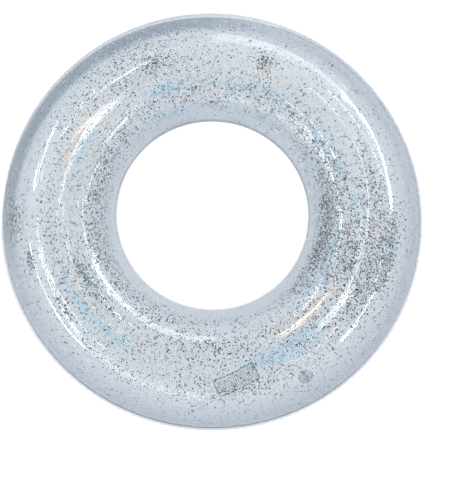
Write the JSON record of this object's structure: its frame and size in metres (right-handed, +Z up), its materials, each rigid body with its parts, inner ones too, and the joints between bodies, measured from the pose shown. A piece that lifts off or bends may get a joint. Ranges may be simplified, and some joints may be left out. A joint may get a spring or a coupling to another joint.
{
  "type": "inflatable swim ring",
  "caption": "Clear inflatable swim ring with loose glitter inside and a press-in valve with a tethered stopper.",
  "frame": {"origin": "on the ring's axis, at the floor it lies on", "axes": "+Z up along the ring's axis; -Y is the side nearest a viewer, and the valve is low on the outside 51.5 degrees clockwise from +X"},
  "size_m": [0.9139, 0.914, 0.2246],
  "materials": {
    "clear_film": "gloss",
    "weld_seam": "gloss",
    "panel_ink": "satin",
    "valve_vinyl": "gloss",
    "glitter_silver": "metallised",
    "glitter_holographic": "metallised"
  },
  "bodies": {
    "ring": {"film_top": "clear_film", "film_bottom": "clear_film", "seam_outer": "weld_seam", "seam_inner": "weld_seam", "blank_panel": "panel_ink", "valve_flange": "valve_vinyl", "valve_diaphragm": "valve_vinyl", "glitter_fine_upper": "glitter_silver", "glitter_coarse_upper": "glitter_silver", "glitter_holographic_upper": "glitter_holographic", "glitter_fine_lower": "glitter_silver", "glitter_coarse_lower": "glitter_silver", "glitter_holographic_lower": "glitter_holographic"},
    "stem": {"valve_stem": "valve_vinyl"},
    "plug": {"valve_plug": "valve_vinyl", "plug_strap": "valve_vinyl"},
    "flap": {"valve_flap": "valve_vinyl"}
  },
  "joints": [
    {"name": "stem_slide", "type": "slide", "parent": "ring", "child": "stem", "axis": [0.3847, -0.4836, -0.7862], "range_m": [0, 0.012], "deforming": ["valve_diaphragm"]},
    {"name": "plug_flip", "type": "hinge", "parent": "stem", "child": "plug", "pos_m": [0.26004, -0.32692, 0.03022], "axis": [-0.7826, -0.6225, 0], "range_deg": [0, 170], "deforming": ["plug_strap"]},
    {"name": "flap_swing", "type": "hinge", "parent": "stem", "child": "flap", "pos_m": [0.25152, -0.3162, 0.03955], "axis": [0.7826, 0.6225, 0], "range_deg": [0, 50], "stiffness_Nm_per_rad": 0.002}
  ]
}
